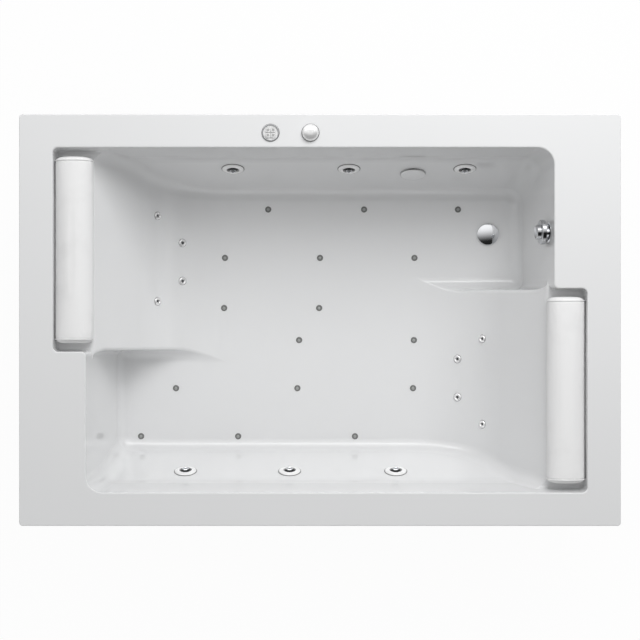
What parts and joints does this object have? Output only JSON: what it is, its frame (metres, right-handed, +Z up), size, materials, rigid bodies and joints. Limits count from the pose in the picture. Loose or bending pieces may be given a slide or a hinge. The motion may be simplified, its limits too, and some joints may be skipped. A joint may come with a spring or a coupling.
{
  "type": "jetted bathtub",
  "caption": "Built-in rectangular jetted bath for two, with opposed backrests and foot pockets, swivelling water jets, air jets, head pillows and its own frame and pump.",
  "frame": {"origin": "centre of the tub on the surface that its feet stand on", "axes": "+X along the tub towards the drain end, +Y across it towards the rim with the controls, +Z up"},
  "size_m": [1.9, 1.3, 0.6184],
  "materials": {
    "acrylic_shell": "glossy white acrylic",
    "acrylic_trim": "glossy white moulded trim",
    "jet_plastic": "moulded white plastic fittings",
    "air_cap": "pale grey moulded cap",
    "chrome": "polished chrome",
    "flex_pipe": "grey drain pipe",
    "keypad_housing": "dark sealed housing",
    "key": "silver grey key",
    "pillow": "soft white padded cover over foam",
    "black_plastic": "black moulded plastic",
    "board": "sealed plywood",
    "galvanised": "galvanised steel tube",
    "zinc": "zinc plated",
    "pump_plastic": "dark glass filled plastic",
    "motor_casing": "ribbed cast casing",
    "box_plastic": "light grey box",
    "pvc_pipe": "white rigid pipe",
    "clear_hose": "pale flexible hose"
  },
  "bodies": {
    "tub": {"shell": "acrylic_shell", "jet_rings": "acrylic_trim", "jet_lock_nuts": "jet_plastic", "jet_bodies": "jet_plastic", "suction_cover": "acrylic_trim", "suction_body": "jet_plastic", "back_jet_rings": "acrylic_trim", "back_jet_bodies": "jet_plastic", "air_jet_caps": "air_cap", "air_jet_valves": "jet_plastic", "drain_flange": "chrome", "drain_trap": "jet_plastic", "overflow_flange": "chrome", "overflow_body": "jet_plastic", "overflow_pipe": "flex_pipe", "keypad_bezel": "chrome", "keypad_body": "keypad_housing", "air_regulator_base": "chrome", "pillow_studs": "black_plastic", "floor_stiffener": "board", "base_side_tubes": "galvanised", "base_cross_tubes": "galvanised", "top_rails": "galvanised", "uprights": "galvanised", "foot_pads": "black_plastic", "foot_stems": "zinc", "foot_lock_nuts": "zinc", "equipment_boards": "board", "pump_volute": "pump_plastic", "pump_motor": "motor_casing", "pump_terminal_box": "black_plastic", "pump_cradle": "black_plastic", "blower_housing": "pump_plastic", "blower_motor": "motor_casing", "control_box": "box_plastic", "control_box_gland": "black_plastic", "control_box_plate": "galvanised", "pressure_pipes": "pvc_pipe", "suction_pipe": "pvc_pipe", "venturi_line": "clear_hose", "air_pipes": "pvc_pipe", "blower_pipe": "pvc_pipe", "back_jet_hoses": "clear_hose"},
    "air_regulator_knob_body": {"air_regulator_knob": "chrome"},
    "drain_plug_body": {"drain_plug": "chrome"},
    "jet_nozzle_1_body": {"jet_nozzle_1": "chrome"},
    "jet_nozzle_2_body": {"jet_nozzle_2": "chrome"},
    "jet_nozzle_3_body": {"jet_nozzle_3": "chrome"},
    "jet_nozzle_4_body": {"jet_nozzle_4": "chrome"},
    "jet_nozzle_5_body": {"jet_nozzle_5": "chrome"},
    "jet_nozzle_6_body": {"jet_nozzle_6": "chrome"},
    "keypad_button_1_body": {"keypad_button_1": "key"},
    "keypad_button_2_body": {"keypad_button_2": "key"},
    "keypad_button_3_body": {"keypad_button_3": "key"},
    "keypad_button_4_body": {"keypad_button_4": "key"},
    "overflow_knob_body": {"overflow_knob": "chrome"},
    "pillow_front_body": {"pillow_front": "pillow"},
    "pillow_rear_body": {"pillow_rear": "pillow"}
  },
  "joints": [
    {"name": "overflow_turn", "type": "hinge", "parent": "tub", "child": "overflow_knob_body", "pos_m": [0.73304, 0.28198, 0.525], "axis": [-0.9957, 0, 0.0924], "range_deg": [0, 90]},
    {"name": "plug_lift", "type": "slide", "parent": "tub", "child": "drain_plug_body", "axis": [0, 0, 1], "range_m": [0, 0.01]},
    {"name": "air_regulator_turn", "type": "hinge", "parent": "tub", "child": "air_regulator_knob_body", "pos_m": [-0.03, 0.591, 0.6], "axis": [0, 0, 1], "range_deg": [-90, 90]},
    {"name": "key_press_1", "type": "slide", "parent": "tub", "child": "keypad_button_1_body", "axis": [0, 0, -1], "range_m": [0, 0.0012], "stiffness_N_per_m": 600},
    {"name": "key_press_2", "type": "slide", "parent": "tub", "child": "keypad_button_2_body", "axis": [0, 0, -1], "range_m": [0, 0.0012], "stiffness_N_per_m": 600},
    {"name": "key_press_3", "type": "slide", "parent": "tub", "child": "keypad_button_3_body", "axis": [0, 0, -1], "range_m": [0, 0.0012], "stiffness_N_per_m": 600},
    {"name": "key_press_4", "type": "slide", "parent": "tub", "child": "keypad_button_4_body", "axis": [0, 0, -1], "range_m": [0, 0.0012], "stiffness_N_per_m": 600},
    {"name": "jet_aim_1", "type": "hinge", "parent": "tub", "child": "jet_nozzle_1_body", "pos_m": [-0.292, 0.51305, 0.33315], "axis": [0, 0.309, 0.9511], "range_deg": [-12, 12]},
    {"name": "jet_aim_2", "type": "hinge", "parent": "tub", "child": "jet_nozzle_2_body", "pos_m": [0.09701, 0.51305, 0.33315], "axis": [0, 0.309, 0.9511], "range_deg": [-12, 12]},
    {"name": "jet_aim_3", "type": "hinge", "parent": "tub", "child": "jet_nozzle_3_body", "pos_m": [0.48603, 0.51305, 0.33315], "axis": [0, 0.309, 0.9511], "range_deg": [-12, 12]},
    {"name": "jet_aim_4", "type": "hinge", "parent": "tub", "child": "jet_nozzle_4_body", "pos_m": [-0.45103, -0.51305, 0.33315], "axis": [0, -0.309, 0.9511], "range_deg": [-12, 12]},
    {"name": "jet_aim_5", "type": "hinge", "parent": "tub", "child": "jet_nozzle_5_body", "pos_m": [-0.10197, -0.51305, 0.33315], "axis": [0, -0.309, 0.9511], "range_deg": [-12, 12]},
    {"name": "jet_aim_6", "type": "hinge", "parent": "tub", "child": "jet_nozzle_6_body", "pos_m": [0.25397, -0.51305, 0.33315], "axis": [0, -0.309, 0.9511], "range_deg": [-12, 12]},
    {"name": "pillow_front_lift", "type": "slide", "parent": "tub", "child": "pillow_front_body", "axis": [0, 0, 1], "range_m": [0, 0.04]},
    {"name": "pillow_rear_lift", "type": "slide", "parent": "tub", "child": "pillow_rear_body", "axis": [0, 0, 1], "range_m": [0, 0.04]}
  ],
  "couplings": [
    {"joint": "plug_lift", "follows": "overflow_turn", "m_per_rad": 0.006356}
  ]
}
